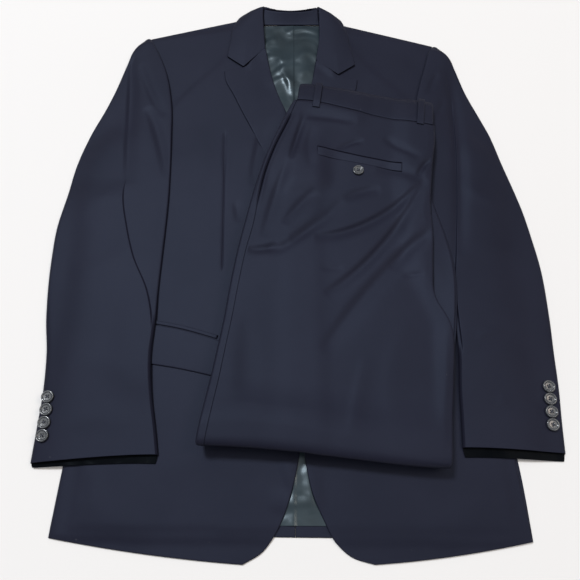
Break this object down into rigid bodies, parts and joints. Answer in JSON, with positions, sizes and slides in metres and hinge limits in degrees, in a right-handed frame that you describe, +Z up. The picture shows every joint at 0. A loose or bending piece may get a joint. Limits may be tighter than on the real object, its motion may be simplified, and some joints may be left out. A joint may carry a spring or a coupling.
{
  "type": "two-piece suit laid flat, trousers folded on the jacket",
  "caption": "Dark navy two-piece suit laid out for view: jacket face up with notch lapels and cuff buttons, trousers folded in half and laid on it.",
  "frame": {"origin": "on the surface that the suit lies on, under the middle of its outline", "axes": "+Y from the jacket's hem towards its collar, +X towards the wearer's left, +Z up from the surface"},
  "size_m": [0.6554, 0.8249, 0.0347],
  "materials": {
    "suiting": "fine worsted wool, dark navy",
    "lining": "satin lining, dark teal",
    "button": "polished dark resin"
  },
  "bodies": {
    "root": {"back_pocket_button": "button", "back_pocket_welt": "suiting", "belt_loop_back": "suiting", "belt_loop_side": "suiting", "cuff_button_left_1": "button", "cuff_button_left_2": "button", "cuff_button_left_3": "button", "cuff_button_left_4": "button", "cuff_button_right_1": "button", "cuff_button_right_2": "button", "cuff_button_right_3": "button", "cuff_button_right_4": "button", "hip_pocket_flap": "suiting", "hip_pocket_jet": "suiting", "jacket_back_left": "suiting", "jacket_back_right": "suiting", "jacket_collar_fall": "suiting", "jacket_collar_stand": "suiting", "jacket_front_left": "suiting", "jacket_front_right": "suiting", "jacket_lapel_left": "suiting", "jacket_lapel_right": "suiting", "jacket_lining": "lining", "sleeve_left_top": "suiting", "sleeve_left_under": "suiting", "sleeve_right_top": "suiting", "sleeve_right_under": "suiting", "trousers_back_leg": "suiting", "trousers_front_leg": "suiting", "trousers_lower_legs": "suiting", "trousers_upper_layers": "suiting", "trousers_waistband": "suiting"}
  },
  "joints": []
}
